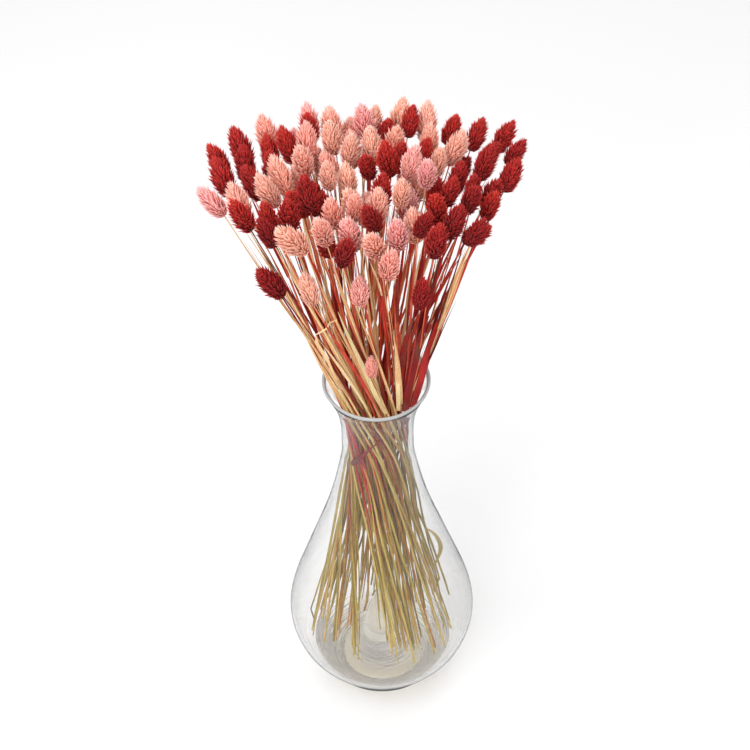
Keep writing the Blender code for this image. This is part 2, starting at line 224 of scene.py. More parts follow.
bunch = {
    "seed": 29,
    "ringCounts": (2, 8, 14, 20, 26, 32),
    "waistHeight": 0.3250,
    "waistRadius": 0.0236,
    "leanAbove": 0.326,
    "leanBelow": 0.210,
    "crownHeight": 0.6050,
    "crownDrop": 0.0160,
    "crownFlatten": 0.37,
    "crownShift": complex(-0.003, 0.0135),
    "sidesBack": 2.0,
    "swayStarts": 0.40,
    "swayFull": 0.60,
    "swaySpread": (0.005, 0.005),
    "slipRound": 0.09,
    "slipOut": 0.07,
    "headLength": 0.0310,
    "headRadius": 0.0084,
    "headSizes": (0.84, 1.10),
    "headWidths": (0.88, 1.02),
    "headDepth": 0.050,
    "headUneven": 0.011,
    "headLeans": 1.20,
    "leanSpread": 0.13,
    "stemRadius": 0.0011,
    "matesApart": 0.0009,
    "feetStart": 0.030,
    "feetSpread": 0.038,
    "frontFeetRise": 0.45,
    "settleRounds": 140,
    "settleLevels": np.arange(0.44, 0.66, 0.006),
    "settleStep": 0.09,
    "mostPush": 0.004,
    "headClearance": 0.0005,
    "axisStep": 0.02,
    # x, y, height of the foot, size, colour and lean of the heads on short stalks
    "short": (
        (-0.072, -0.034, 0.525, 1.06, "red", -0.65 + 0.05j),
        (-0.005, -0.055, 0.454, 0.62, "pink", 0.45j),
        (-0.047, -0.058, 0.537, 0.92, "pink", -0.25 + 0.40j),
        (-0.012, -0.060, 0.537, 0.84, "pink", 0.30j),
        (0.032, -0.062, 0.533, 0.86, "red", 0.15 + 0.35j),
        (0.067, -0.020, 0.561, 0.95, "red", 0.85 - 0.35j),
    ),
    # x, y and reach of each patch of red heads
    "redPatches": (
        (-0.011, -0.0415, 0.003), (-0.038, -0.018, 0.007), (-0.077, -0.010, 0.016),
        (0.054, -0.016, 0.021), (0.081, 0.020, 0.022), (0.103, 0.055, 0.009),
        (0.070, 0.072, 0.009), (0.021, 0.072, 0.007), (-0.100, 0.043, 0.013),
        (-0.072, 0.048, 0.007), (-0.052, 0.058, 0.006), (-0.047, 0.006, 0.006),
        (-0.014, 0.002, 0.004), (0.004, 0.026, 0.006), (0.027, 0.036, 0.006),
    ),
    "leaves": 12,
    "footStray": 0.0060,
    "clusters": (3, 0.0085, 0.7),      # how many round the vase, how far stems lean to them, turned by
    # Where the stems part below the neck: x at a height, its slope, how much it drops towards the
    # back, between which heights, how far stems keep off it and the farthest a foot moves for it
    "parting": {
        "x": -0.0071, "at": 0.297, "slope": 0.0834, "drop": 1.5,
        "heights": (0.135, 0.265), "apart": 0.0024, "most": 0.024,
    },
    "frontFeet": (0.040, 0.80),        # height of feet at the middle, and how fast they rise to the front
    # x, y and height of the feet that stand apart from the rest
    "wideFeet": (
        (-0.0655, -0.0100, 0.0520), (-0.0560, 0.0080, 0.0900),
        (0.0620, 0.0120, 0.0810), (0.0560, 0.0040, 0.0700),
    ),
}
draws = random.Random(bunch["seed"])


def ringSpots():
    spots = []
    counts = bunch["ringCounts"]
    step = 1 / (len(counts) - 0.5)
    for ring, count in enumerate(counts):
        start = draws.uniform(0, math.tau)
        for i in range(count):
            angle = start + math.tau * (i + draws.uniform(-1, 1) * bunch["slipRound"]) / count
            radius = step * (ring + 0.5 + draws.uniform(-1, 1) * bunch["slipOut"])
            spots.append(complex(math.cos(angle), math.sin(angle)) * min(radius, 1))
    return np.array(spots)


# Where stalks pass a height: rods that twist through a waist and spread above it
def place(spots, height):
    above = np.maximum(height - bunch["waistHeight"], 0)
    below = np.minimum(height - bunch["waistHeight"], 0)
    lean = bunch["leanAbove"] * above + bunch["leanBelow"] * below
    at = spots * (bunch["waistRadius"] - 1j * lean)
    crown = np.clip((height - glass["rimHeight"]) / (bunch["crownHeight"] - glass["rimHeight"]), 0, 1)
    back = at.imag * (1 - bunch["crownFlatten"] * crown) + bunch["sidesBack"] * crown * at.real**2
    return at.real + 1j * back + bunch["crownShift"] * crown


def swayShare(height):
    share = (height - bunch["swayStarts"]) / (bunch["swayFull"] - bunch["swayStarts"])
    return np.clip(share, 0, 2) ** 1.3


def passes(height, chosen=slice(None)):
    return place(stalks["spot"][chosen], height) + stalks["sway"][chosen] * swayShare(height)


def headAxes():
    foot = passes(stalks["base"])
    below = passes(stalks["base"] - bunch["axisStep"])
    return foot, (foot - below) / bunch["axisStep"] * bunch["headLeans"] + stalks["lean"]


def setStalks():
    spots = ringSpots()
    count = len(spots)

    def drawn(rule, *values):
        return np.array([rule(*values) for _ in range(count)])

    sunk = bunch["headDepth"] * drawn(draws.random) ** 2
    uneven = drawn(draws.uniform, -1, 1) * bunch["headUneven"]
    stalks.update(
        spot=spots,
        size=drawn(draws.uniform, *bunch["headSizes"]),
        width=drawn(draws.uniform, *bunch["headWidths"]),
        spin=drawn(draws.uniform, 0, math.tau),
        lowest=bunch["feetStart"] + bunch["feetSpread"] * drawn(draws.random),
        fixed=np.zeros(count, bool),
        colour=[None] * count,
    )
    out = abs(spots)
    middle = bunch["crownHeight"] - bunch["crownDrop"] * out**2 - (sunk + uneven) * (1.2 - out)
    stalks["base"] = middle - bunch["headLength"] * stalks["size"] / 2
    across, along = bunch["swaySpread"]
    stalks["sway"] = drawn(lambda: complex(draws.gauss(0, across), draws.gauss(0, along)))
    spread = bunch["leanSpread"]
    stalks["lean"] = drawn(lambda: complex(draws.gauss(0, spread), draws.gauss(0, spread)))
    for x, y, base, size, colour, lean in bunch["short"]:
        target = complex(x, y)
        level = base + bunch["headLength"] * size / 2
        away = np.where(stalks["fixed"], np.inf, abs(place(spots, level) - target))
        i = int(away.argmin())
        stalks["base"][i] = base
        stalks["size"][i] = size
        stalks["sway"][i] = (target - place(spots[i], level)) / swayShare(level)
        stalks["lean"][i] += lean - headAxes()[1][i]
        stalks["colour"][i] = colour
        stalks["fixed"][i] = True


# Heads move apart until none touches another head or a stem that passes it
def settleHeads():
    base = stalks["base"]
    for _ in range(bunch["settleRounds"]):
        foot, slope = headAxes()
        tall = bunch["headLength"] * stalks["size"] / np.sqrt(1 + abs(slope) ** 2)
        push = np.zeros(len(base), complex)
        for level in bunch["settleLevels"]:
            share = (level - base) / tall
            where = np.where(share > 0, foot + slope * (level - base), passes(level))
            bulge = np.sqrt(np.clip(1 - (2 * share - 0.95) ** 2, 0, 1))
            swell = bunch["headRadius"] * stalks["size"] * stalks["width"] * bulge
            radius = bunch["stemRadius"] + swell * np.sqrt(1 + abs(slope) ** 2)
            present = share < 1.1
            gap = where[:, None] - where[None, :]
            apart = abs(gap) + np.eye(len(where))
            needed = radius[:, None] + radius[None, :] + bunch["headClearance"]
            short = np.clip(needed - apart, 0, bunch["mostPush"]) * present[:, None] * present[None, :]
            np.fill_diagonal(short, 0)
            push += (gap / apart * short).sum(axis=1) / max(swayShare(level), 0.2)
        stalks["sway"] += np.where(stalks["fixed"], 0, bunch["settleStep"] * push)


def listPairs():
    made = []
    start = 0
    for count in bunch["ringCounts"]:
        made += [(start + i, start + i + 1) for i in range(0, count, 2)]
        start += count
    return made


def planLeaves():
    counts = bunch["ringCounts"]
    first = sum(counts[:-1])
    outer = [i for i in range(first, first + counts[-1]) if not stalks["fixed"][i]]
    plans = {}
    for i in draws.sample(outer, bunch["leaves"]):
        start = draws.uniform(0.405, 0.445)
        length = min(draws.uniform(0.065, 0.110), float(stalks["base"][i]) - start - 0.035)
        plans[i] = (start, length, draws.uniform(0.003, 0.007))
    return plans


def pairColour(pair):
    for i in pair:
        if stalks["colour"][i]:
            return stalks["colour"][i]
    foot, slope = headAxes()
    middle = sum(foot[i] + slope[i] * bunch["headLength"] / 2 for i in pair) / 2
    red = any(abs(middle - complex(x, y)) < reach for x, y, reach in bunch["redPatches"])
    return "red" if red else "pink"


def insideWall():
    points = [Vector(p) for p in glass["outside"]]
    moved = []
    for before, here, after in zip(points, points[1:], points[2:]):
        along = (after - before).normalized()
        inward = Vector((along.y, -along.x))
        if inward.x > 0:
            inward.negate()
        if here.y > glass["insideEndsAt"]:
            moved.append(here + inward * glass["wall"])
    return [Vector((points[0].x - glass["wall"], points[0].y))] + moved


# The two surfaces that bound the hollow of the vase, each as heights and radii
def hollowLines():
    inside = insideWall()[::-1]
    mound = glass["bump"][::-1]
    wall = [mound[0][1]] + [p.y for p in inside], [mound[0][0]] + [p.x for p in inside]
    return {"wall": wall, "bump": ([p[1] for p in mound[1:]], [p[0] for p in mound[1:]])}


def radiusAt(surface, height):
    return float(np.interp(height, *hollow[surface]))


def footHeight(i):
    gap = glass["gap"]
    height = 0.15
    while height > hollow["wall"][0][0] + 2 * gap:
        radius = float(abs(passes(height, i)))
        if radius > radiusAt("wall", height) - 2 * gap:
            break
        if height < hollow["bump"][0][-1] + gap and radius < radiusAt("bump", height) + 2 * gap:
            break
        height -= 0.001
    front = max(0.0, -float(passes(height, i).imag))
    return max(height + 0.001, float(stalks["lowest"][i]) + bunch["frontFeetRise"] * front)


stalks = {}
hollow = hollowLines()
setStalks()
settleHeads()
leafPlans = planLeaves()
mates = {}
stalkColour = {}
for a, b in listPairs():
    mates[a], mates[b] = b, a
    stalkColour[a] = stalkColour[b] = pairColour((a, b))
feet = {i: footHeight(i) for i in mates}
strayDraws = random.Random(3)
strays = {i: complex(strayDraws.gauss(0, 1), strayDraws.gauss(0, 1)) * bunch["footStray"] for i in feet}
for i in feet:
    spot = complex(passes(feet[i], i))
    many, pull, turn = bunch["clusters"]
    strays[i] += 1j * spot / abs(spot) * pull * math.sin(many * math.atan2(spot.imag, spot.real) + turn)
    low, rise = bunch["frontFeet"]
    feet[i] = max(feet[i], low - rise * min(0.0, spot.imag) + 0.010 * strayDraws.random())
for x, y, height in bunch["wideFeet"]:
    away = {i: abs(complex(passes(height, i)) - complex(x, y)) + abs(feet[i] - height) for i in feet}
    i = min(away, key=away.get)
    feet[i] = height
    strays[i] = complex(x, y) - complex(passes(height, i))
print("bunch of", len(mates), "stalks")


def smoothStep(low, high, value):
    share = min(1.0, max(0.0, (value - low) / (high - low)))
    return share * share * (3 - 2 * share)


# Where a stem's middle line is, with the pull that brings it to its mate at the waist
def stemAt(i, height):
    waist = bunch["waistHeight"]
    spot = complex(passes(waist, i))
    other = complex(passes(waist, mates[i]))
    pull = (other - spot) / 2 - (other - spot) / abs(other - spot) * bunch["matesApart"] / 2
    end = feet[i] if height < waist else glass["rimHeight"]
    share = max(0.0, 1 - (height - waist) / (end - waist))
    here = complex(passes(height, i)) + pull * share
    if height < waist:
        here += strays[i] * (1 - share) ** 1.2
    return Vector((here.real, here.imag, height))


# How far a foot moves aside so that its stem keeps to one side of the parting
def keepToSide(i, side):
    rule = bunch["parting"]
    low, high = rule["heights"]
    need = 0.0
    for height in np.arange(max(feet[i], low - 0.03), high + 0.05, 0.01):
        at = stemAt(i, float(height))
        level = at.z + rule["drop"] * (at.y + 0.012)
        if not low < level < high:
            continue
        aside = side * (at.x - rule["x"] - rule["slope"] * (level - rule["at"]))
        below = (bunch["waistHeight"] - at.z) / (bunch["waistHeight"] - feet[i])
        need = max(need, (rule["apart"] - aside) / below**1.2)
    return need


# Moves a point that is in the hollow of the vase clear of the glass by a margin
def keepClear(point, margin):
    if not hollow["wall"][0][0] < point.z < glass["rimHeight"]:
        return point
    radius = Vector((point.x, point.y)).length
    most = radiusAt("wall", point.z) - margin
    least = radiusAt("bump", point.z) + margin if point.z < hollow["bump"][0][-1] + margin else 0.0
    share = min(max(radius, least), most) / max(radius, 1e-6)
    return Vector((point.x * share, point.y * share, point.z))


# A smooth line through points
def through(points, steps):
    line = [Vector(p) for p in points]
    line = [line[0] * 2 - line[1]] + line + [line[-1] * 2 - line[-2]]
    made = []
    for a, b, c, d in zip(line, line[1:], line[2:], line[3:]):
        for k in range(steps):
            t = k / steps
            square, cube = 2 * a - 5 * b + 4 * c - d, 3 * b - a - 3 * c + d
            made.append(0.5 * (2 * b + (c - a) * t + square * t**2 + cube * t**3))
    return made + [line[-2]]


# Helpers for materials

def newMaterial(name):
    material = bpy.data.materials.new(name)
    material.use_nodes = True
    return material, material.node_tree, material.node_tree.nodes["Principled BSDF"]


def readAttribute(tree, name):
    return addNode(tree, "ShaderNodeAttribute", attribute_name=name, pick="Fac")


def objectSpot(tree):
    return addNode(tree, "ShaderNodeTexCoord", pick="Object")


def heightOf(tree, where):
    return addNode(tree, "ShaderNodeSeparateXYZ", {0: where}, pick=2)


def ramp(tree, factor, stops):
    node = newNode(tree, "ShaderNodeValToRGB", {"Fac": factor})
    while len(node.color_ramp.elements) < len(stops):
        node.color_ramp.elements.new(0.5)
    for element, (place, colour) in zip(node.color_ramp.elements, stops):
        element.position = place
        element.color = (*colour, 1)
    return node.outputs["Color"]


def mixColour(tree, factor, a, b, blend="MIX"):
    a, b = [(*colour, 1) if isinstance(colour, tuple) else colour for colour in (a, b)]
    return addNode(tree, "ShaderNodeMix", {0: factor, 6: a, 7: b}, data_type="RGBA", blend_type=blend, pick=2)


# Makes a colour darker or lighter by a number
def shadeBy(tree, colour, shade):
    grey = addNode(tree, "ShaderNodeCombineColor", {0: shade, 1: shade, 2: shade})
    return mixColour(tree, 1.0, colour, grey, blend="MULTIPLY")


# From a value and its lowest and highest to the numbers that these become
def span(tree, *values):
    return addNode(tree, "ShaderNodeMapRange", dict(enumerate(values)), pick="Result")


def noise(tree, where, shares, scale, detail, roughness=0.5):
    mapped = addNode(tree, "ShaderNodeMapping", {"Vector": where, "Scale": shares})
    plugs = {"Vector": mapped, "Scale": scale, "Detail": detail, "Roughness": roughness}
    return addNode(tree, "ShaderNodeTexNoise", plugs, pick="Fac")


def bump(tree, height, strength, distance):
    plugs = {"Height": height, "Strength": strength, "Distance": distance}
    return addNode(tree, "ShaderNodeBump", plugs, pick="Normal")


# Heads: pointed scales spiralling up an egg-shaped core

head = {
    "scales": 330,
    "length": 0.0310,
    "radius": 0.0047,        # where the scales are rooted
    "scaleLength": 0.0078,
    "scaleWidth": 0.0019,
    "scaleThick": 0.0010,
    "scaleRings": ((0.32, 1.0, 1.0), (0.70, 0.70, 0.66)),      # height, width and thickness shares
    "turn": math.pi * (3 - math.sqrt(5)),
    "seed": 4,
    # how far the scales differ
    "leanSlip": (-0.13, 0.10),
    "lengths": (0.78, 1.14),
    "turnSlip": (-0.12, 0.12),
    "rollSlip": (-0.5, 0.5),
    "widths": (0.85, 1.1),
    # by height up the head: how far out scales are rooted, how far they lean out, how long they are
    "rootOut": ((0, 0.40), (0.12, 0.78), (0.35, 1.0), (0.62, 0.86), (0.85, 0.46), (1, 0.06)),
    "leanOut": ((0, 0.62), (0.2, 0.38), (0.5, 0.24), (0.8, 0.13), (1, 0.03)),
    "longer": ((0, 0.50), (0.15, 0.78), (0.4, 1.0), (0.75, 1.0), (1, 0.86)),
    "climb": ((0, 0.0), (0.3, 0.20), (0.7, 0.53), (1, 0.75)),
    # radius of the core, and height as a share
    "core": ((0.0030, 0.02), (0.0050, 0.14), (0.0054, 0.36), (0.0044, 0.62), (0.0026, 0.80)),
    "coreTop": 0.92,
    "coreSides": 8,
}


# One scale, a closed boat with a keel, that stands on its root along +Z and faces +X
def scaleShape():
    length, wide, thick = head["scaleLength"], head["scaleWidth"] / 2, head["scaleThick"] / 2
    shape = bmesh.new()
    points = [shape.verts.new((0, 0, 0))]
    for up, w, t in head["scaleRings"]:
        bow = 0.10 * length * (up - 0.5) ** 2
        for x, y in ((thick * t * 1.3, 0), (0, wide * w), (-thick * t * 0.7, 0), (0, -wide * w)):
            points.append(shape.verts.new((bow + x, y, up * length)))
    points.append(shape.verts.new((0.07 * length, 0, length)))
    for k in range(4):
        a, b = 1 + k, 1 + (k + 1) % 4
        shape.faces.new((points[0], points[b], points[a]))
        shape.faces.new((points[a], points[b], points[b + 4], points[a + 4]))
        shape.faces.new((points[-1], points[a + 4], points[b + 4]))
    made = finishShape("scale", shape)
    along = [v.co.z / length for v in made.data.vertices]
    edge = [min(1.0, abs(v.co.y) / wide) for v in made.data.vertices]
    for key, values in (("along", along), ("edge", edge)):
        made.data.attributes.new(key, "FLOAT", "POINT").data.foreach_set("value", values)
    return made


def coreShape():
    rings = [ring(radius, up * head["length"], head["coreSides"]) for radius, up in head["core"]]
    return turnedShape("core", (0, 0, 0), rings, (0, 0, head["coreTop"] * head["length"]))


def headTree():
    tree, given = newTree("head of scales", {
        "Scale Shape": "Object", "Core Shape": "Object", "Scales": "Int", "Head Length": "Float",
        "Root Radius": "Float", "Turn": "Float", "Seed": "Int", "Material": "Material"})
    add, work, multiply = (partial(rule, tree) for rule in (addNode, calc, times))
    align = partial(add, "FunctionNodeAlignRotationToVector")
    upright = align({"Vector": readNumber(tree, "axis", "FLOAT_VECTOR")}, axis="Z")
    size, wide = readNumber(tree, "size"), readNumber(tree, "wide")
    dots = add("GeometryNodeMeshToPoints", {"Mesh": given["Geometry"]})
    plugs = {"Geometry": dots, "Amount": given["Scales"]}
    many = newNode(tree, "GeometryNodeDuplicateElements", plugs, domain="POINT")
    order = many.outputs["Duplicate Index"]
    own = add("GeometryNodeInputIndex")

    def drawn(key, seed):
        return drawNumber(tree, *head[key], seed, own)

    climb = drawnCurve(tree, work("DIVIDE", work("ADD", order, 0.5), given["Scales"]), head["climb"])
    rise = work("DIVIDE", climb, head["climb"][-1][1])
    rootOut, leanOut, longer = (drawnCurve(tree, rise, head[key]) for key in ("rootOut", "leanOut", "longer"))
    lean = multiply(work("ADD", leanOut, drawn("leanSlip", given["Seed"])), math.pi / 2)
    longer = multiply(longer, drawn("lengths", 11))
    angle = work("MULTIPLY_ADD", order, given["Turn"], readNumber(tree, "spin"))
    angle = work("ADD", angle, drawn("turnSlip", 12))
    cosine, sine = work("COSINE", angle), work("SINE", angle)

    # A vector in the head's own frame from a share outwards and a share upwards, turned with the head
    def turned(out, up):
        plugs = {0: multiply(cosine, out), 1: multiply(sine, out), 2: up}
        local = add("ShaderNodeCombineXYZ", plugs)
        return add("FunctionNodeRotateVector", {0: local, 1: upright})

    def copies(points, shape, rotation, across, along):
        shown = add("GeometryNodeObjectInfo", {"Object": given[shape]}, pick="Geometry")
        shares = add("ShaderNodeCombineXYZ", {0: across, 1: across, 2: along})
        plugs = {"Points": points, "Instance": shown, "Rotation": rotation, "Scale": shares}
        return add("GeometryNodeInstanceOnPoints", plugs)

    rootUp = multiply(climb, given["Head Length"], size)
    root = turned(multiply(rootOut, given["Root Radius"], size, wide), rootUp)
    out, up = work("SINE", lean), work("COSINE", lean)
    stand = align({"Vector": turned(out, up)}, axis="Z")
    face = align({0: stand, "Vector": turned(up, multiply(out, -1.0))}, axis="X", pivot_axis="Z")
    moved = add("GeometryNodeSetPosition", {"Geometry": many.outputs[0], "Offset": root})
    moved = storeNumber(tree, moved, "pick", drawNumber(tree, 0.0, 1.0, 13, own))
    roll = add("FunctionNodeAxisAngleToRotation", {"Axis": (0, 0, 1), "Angle": drawn("rollSlip", 14)})
    rolled = add("FunctionNodeRotateRotation", {0: face, 1: roll}, rotation_space="LOCAL")
    slim = multiply(size, wide, drawn("widths", 15), work("ADD", 0.35, multiply(longer, 0.65)))
    scales = copies(moved, "Scale Shape", rolled, slim, multiply(size, longer))
    cores = copies(dots, "Core Shape", upright, multiply(size, wide), size)
    both = newNode(tree, "GeometryNodeJoinGeometry", {0: scales})
    plug(tree, both, {0: cores})
    endTree(tree, both.outputs[0], given["Material"])
    return tree


# Colours from the root of a scale to its tip: the two ends of the range of most heads, and the odd one; the
# paler tips are the scales' own colour, the darkening towards the roots is painted shade between the scales
headColours = {
    "pink": {
        "stops": (0.0, 0.30, 0.62, 1.0),
        "rows": (
            ((0.56, 0.14, 0.08), (0.84, 0.25, 0.17), (0.95, 0.34, 0.26), (0.92, 0.54, 0.46)),
            ((0.56, 0.19, 0.09), (0.84, 0.36, 0.21), (0.94, 0.46, 0.32), (0.91, 0.64, 0.52)),
            ((0.60, 0.15, 0.12), (0.87, 0.27, 0.24), (0.96, 0.40, 0.38), (0.93, 0.58, 0.58)),
        ),
        "edge": (0.93, 0.70, 0.62),
        "sheen": 0.10,
    },
    "red": {
        "stops": (0.0, 0.35, 0.70, 1.0),
        "rows": (
            ((0.12, 0.003, 0.003), (0.27, 0.009, 0.008), (0.44, 0.020, 0.018), (0.60, 0.062, 0.048)),
            ((0.08, 0.002, 0.003), (0.18, 0.006, 0.008), (0.29, 0.011, 0.014), (0.40, 0.034, 0.034)),
            ((0.15, 0.004, 0.003), (0.33, 0.011, 0.008), (0.52, 0.024, 0.018), (0.68, 0.075, 0.052)),
        ),
        "edge": (0.50, 0.06, 0.06),
        "sheen": 0.03,
    },
}


def headMaterial(colour):
    material, tree, shader = newMaterial(colour + " seed head")
    look = headColours[colour]
    keys = ("along", "tone", "odd", "edge", "pick")
    along, tone, odd, edge, pick = (readAttribute(tree, key) for key in keys)
    # painted shade: the dark root colours darken the scales' hidden bases, and the core, which carries no
    # along share, takes the darkest of them
    most, other, rare = (ramp(tree, along, list(zip(look["stops"], row))) for row in look["rows"])
    base = mixColour(tree, odd, mixColour(tree, tone, most, other), rare)
    # papery edges are paler, and a fine grain of veins runs along each scale
    base = mixColour(tree, times(tree, calc(tree, "POWER", edge, 2.0), 0.22), base, look["edge"])
    grain = noise(tree, objectSpot(tree), (1, 1, 1), 1400.0, 2.0)
    shade = calc(tree, "ADD", span(tree, pick, 0.0, 1.0, 0.84, 1.04), span(tree, grain, 0.3, 0.7, -0.10, 0.10))
    plug(tree, shader, {
        "Base Color": shadeBy(tree, base, shade),
        "Roughness": 0.72,
        "Specular IOR Level": 0.18,
        "Sheen Weight": look["sheen"],
        "Sheen Roughness": 0.5,
        "Normal": bump(tree, grain, 0.35, 0.0004),
    })
    return material


looks = random.Random(7)


# Where a head starts, and which way it points
def headLine(i):
    foot, slope = headAxes()
    axis = Vector((slope[i].real, slope[i].imag, 1)).normalized()
    return (foot[i].real, foot[i].imag, stalks["base"][i]), axis


def growHeads(colour, half, material):
    lines = {"points": [], "edges": []}
    for i in [i for i in sorted(mates) if stalkColour[i] == colour][half::2]:
        start, axis = headLine(i)
        tone = looks.random() ** 1.2
        odd = looks.uniform(0.6, 1.0) if looks.random() < 0.24 else looks.uniform(0.0, 0.25)
        addPoint(lines, False, start, axis=tuple(axis), tone=tone, odd=odd, size=stalks["size"][i],
                 wide=stalks["width"][i], spin=stalks["spin"][i])
    return grow(f"{colour}_heads_{half + 1}", lines, tree, {
        "Scale Shape": shapes[0], "Core Shape": shapes[1], "Scales": head["scales"],
        "Head Length": head["length"], "Root Radius": head["radius"], "Turn": head["turn"],
        "Seed": head["seed"] + half, "Material": material,
    })


pieces = {"red": [], "pink": []}
shapes = scaleShape(), coreShape()
tree = headTree()
for colour in pieces:
    material = headMaterial(colour)
    pieces[colour] += [growHeads(colour, half, material) for half in (0, 1)]
for shape in shapes:
    bpy.data.objects.remove(shape)
print("heads grown")


# Stems: round straws, thick and sheathed below, thin under the head

stem = {
    "sides": 7,
    "thick": (0.00060, 0.00108),
    "thin": (0.00036, 0.00052),
    "sheathEnds": (0.440, 0.545),
    "taper": 0.020,
    "knots": 3,
    "knotSwell": 1.28,
    "knotLength": 0.0022,
    "wander": 0.0012,
    "step": 0.016,
    "sinks": 0.006,
    "fade": (0.205, 0.325),    # where the dye stops, going down
    "orangeShare": 0.27,
    "orangeStops": 0.085,      # how much higher the orange dye stops
    # chance of dye at the middle of the rim, and what each reach to the right, left and front adds
    "redChance": (0.40, 0.42, 0.20, -0.30),
    "reach": 0.040,
}

# Flat sheaths, blades, straws and dry leaves that lie along the stems
ribbon = {
    "thickShare": 0.20,
    "cupped": 0.26,
    "close": 0.0002,         # how far sheaths and straws bow off their stem
    "sheath": {"chance": 0.85, "starts": (0.16, 0.30), "ends": (0.44, 0.55), "width": (0.0014, 0.0030)},
    "blade": {"tries": 5, "chance": 0.80, "starts": (0.34, 0.53), "length": (0.05, 0.14),
              "width": (0.0008, 0.0036), "bow": (0.0, 0.0016), "apart": 0.0034},
    "straw": {"chance": 0.75, "starts": (0.04, 0.14), "ends": (0.34, 0.42), "width": (0.0009, 0.0022),
              "apart": 0.006},
    "leafWidth": 0.0038,
    "dyedFrom": 0.022,       # how far to the side of the middle long leaves are dyed
    "points": 13,
}

# Bits that lie loose: colour of the piece they go to, tone, dye, and widths and points in millimetres
looseBits = (
    ("red", 0.1, 1.0, (3, 5.4, 4.2, 1.8, 1.2, 0.8), (
        (-21, -15.2, 309), (-17.1, -19.4, 319.3), (-12.1, -22.9, 329.8), (-7.1, -24.9, 339.6),
        (-1.4, -25.9, 348), (4.2, -25.5, 355.5))),
    ("red", 0.14, 1.0, (1.4, 3, 3.6, 1.4), (
        (-16.7, -19.5, 335.9), (-14.5, -21.2, 329.1), (-12.3, -22.6, 321.7), (-9.2, -24, 313))),
    ("pink", 0.7, 0.0, (0.8, 1.2, 1.3, 1.2, 0.8), (
        (-43.3, -46, 496.1), (-38.8, -46, 499.1), (-34.4, -46, 503.1), (-32, -46, 508.2),
        (-26.9, -46, 511.2))),
    ("pink", 0.4, 0.0, (0.8, 2.6, 3.2, 2.8, 2.6, 1.6), (
        (-42.9, -40, 488.6), (-42.5, -40, 481.2), (-39.9, -40, 473.5), (-36.5, -40, 465.8),
        (-33.3, -40, 453.6), (-29.5, -37, 436))),
    ("red", 0.14, 1.0, (5, 6.6, 7.2, 5.6, 2), (
        (21.7, -26, 385.1), (24, -29.5, 414.9), (27.7, -33, 447), (32.7, -36.5, 477.9),
        (38.2, -40, 506.7))),
    ("red", 0.32, 1.0, (4.6, 6, 6.6, 5, 2), (
        (27.3, -20, 382.7), (31.9, -22.5, 408.9), (37, -25, 441.2), (42.7, -27.5, 470.1),
        (45.3, -30, 489.7))),
    ("red", 0.2, 1.0, (4.4, 5.6, 5.4, 4, 1.6), (
        (16.2, -28.5, 392.4), (17.1, -32, 422), (19.4, -35.5, 455), (23.1, -39, 484.7),
        (28.1, -42.5, 509.2))),
    ("pink", 0.97, 0.0, (3, 3.8, 3.4, 2.4, 0.4), (
        (6.9, -32, 390.3), (-0.5, -36, 416.6), (-10.3, -39.5, 455.6), (-19, -42.7, 488.6),
        (-25.9, -46, 519.3))),
    ("pink", 0.9, 0.0, (3, 3.4, 2.4, 0.4), (
        (16.6, -33, 394.6), (16.2, -37.3, 424.1), (14.9, -40.7, 461.4), (13.7, -44, 497.2))),
    ("pink", 0.45, 0.0, (1.2, 2.2, 3.6, 4, 2.6, 1.2), (
        (38.5, 4, 195.4), (43.7, 4, 190.8), (49.1, 4, 181.8), (52.8, 4, 166.8), (51.2, 4, 151.8),
        (46.8, 4, 136.7))),
    ("pink", 0.3, 0.0, (2, 2.1, 2.2, 2.3, 2.2, 2.1, 1.6), (
        (23.5, 6, 330), (28.1, 6, 259.2), (31.5, 6, 224.5), (39.4, 6, 194.1), (44.8, 6, 171.8),
        (57.1, 6, 114.8), (62, 6, 89.1))),
    ("pink", 0.38, 0.0, (1.8, 2, 2.1, 2, 1.4), (
        (24, 0, 310), (29.6, 0, 239.4), (35.7, 0, 196.5), (47.5, 0, 140.8), (55.5, 0, 78.7))),
    ("pink", 0.2, 0.0, (1.8, 2, 2.1, 2, 1.4), (
        (-22.5, -8, 325), (-32.8, -11, 257.4), (-40.4, -12, 208.6), (-52.8, -12, 134.3), (-65, -12, 62))),
)

strawColours = {
    # low: straw below the rim, partly its own olive colour and partly painted shade inside the vase
    "low": (
        (0.0, (0.27, 0.18, 0.024)), (0.3, (0.44, 0.32, 0.056)),
        (0.75, (0.66, 0.48, 0.15)), (1.0, (0.50, 0.18, 0.016))),
    "high": (
        (0.0, (0.80, 0.40, 0.17)), (0.5, (0.90, 0.58, 0.29)),
        (0.8, (0.86, 0.63, 0.34)), (1.0, (0.74, 0.58, 0.29))),
    "dye": (
        (0.0, (0.12, 0.004, 0.005)), (0.25, (0.33, 0.012, 0.011)), (0.5, (0.54, 0.023, 0.016)),
        (0.75, (0.66, 0.060, 0.028)), (1.0, (0.86, 0.27, 0.11))),
}


# A round straw or, with a profile of its own, a flat leaf along every line
def sweptTree(name, flat):
    tree, given = newTree(name, {
        "Profile": "Object", "Sides": "Int", "Thickness": "Float", "Material": "Material"})
    add = partial(addNode, tree)
    line = add("GeometryNodeMeshToCurve", {"Mesh": given["Geometry"]})
    if flat:
        across = readNumber(tree, "across", "FLOAT_VECTOR")
        line = add("GeometryNodeSetCurveNormal", {"Curve": line, "Normal": across}, mode="FREE")
        line = add("GeometryNodeSetCurveTilt", {"Curve": line, "Tilt": readNumber(tree, "twist")})
        profile = add("GeometryNodeObjectInfo", {"Object": given["Profile"]}, pick="Geometry")
        outline = add("GeometryNodeMeshToCurve", {"Mesh": profile})
    else:
        plugs = {"Resolution": given["Sides"], "Radius": 1.0}
        outline = add("GeometryNodeCurvePrimitiveCircle", plugs)
    thick = times(tree, readNumber(tree, "thick"), given["Thickness"])
    plugs = {"Curve": line, "Profile Curve": outline, "Scale": thick, "Fill Caps": True}
    endTree(tree, add("GeometryNodeCurveToMesh", plugs), given["Material"])
    return tree


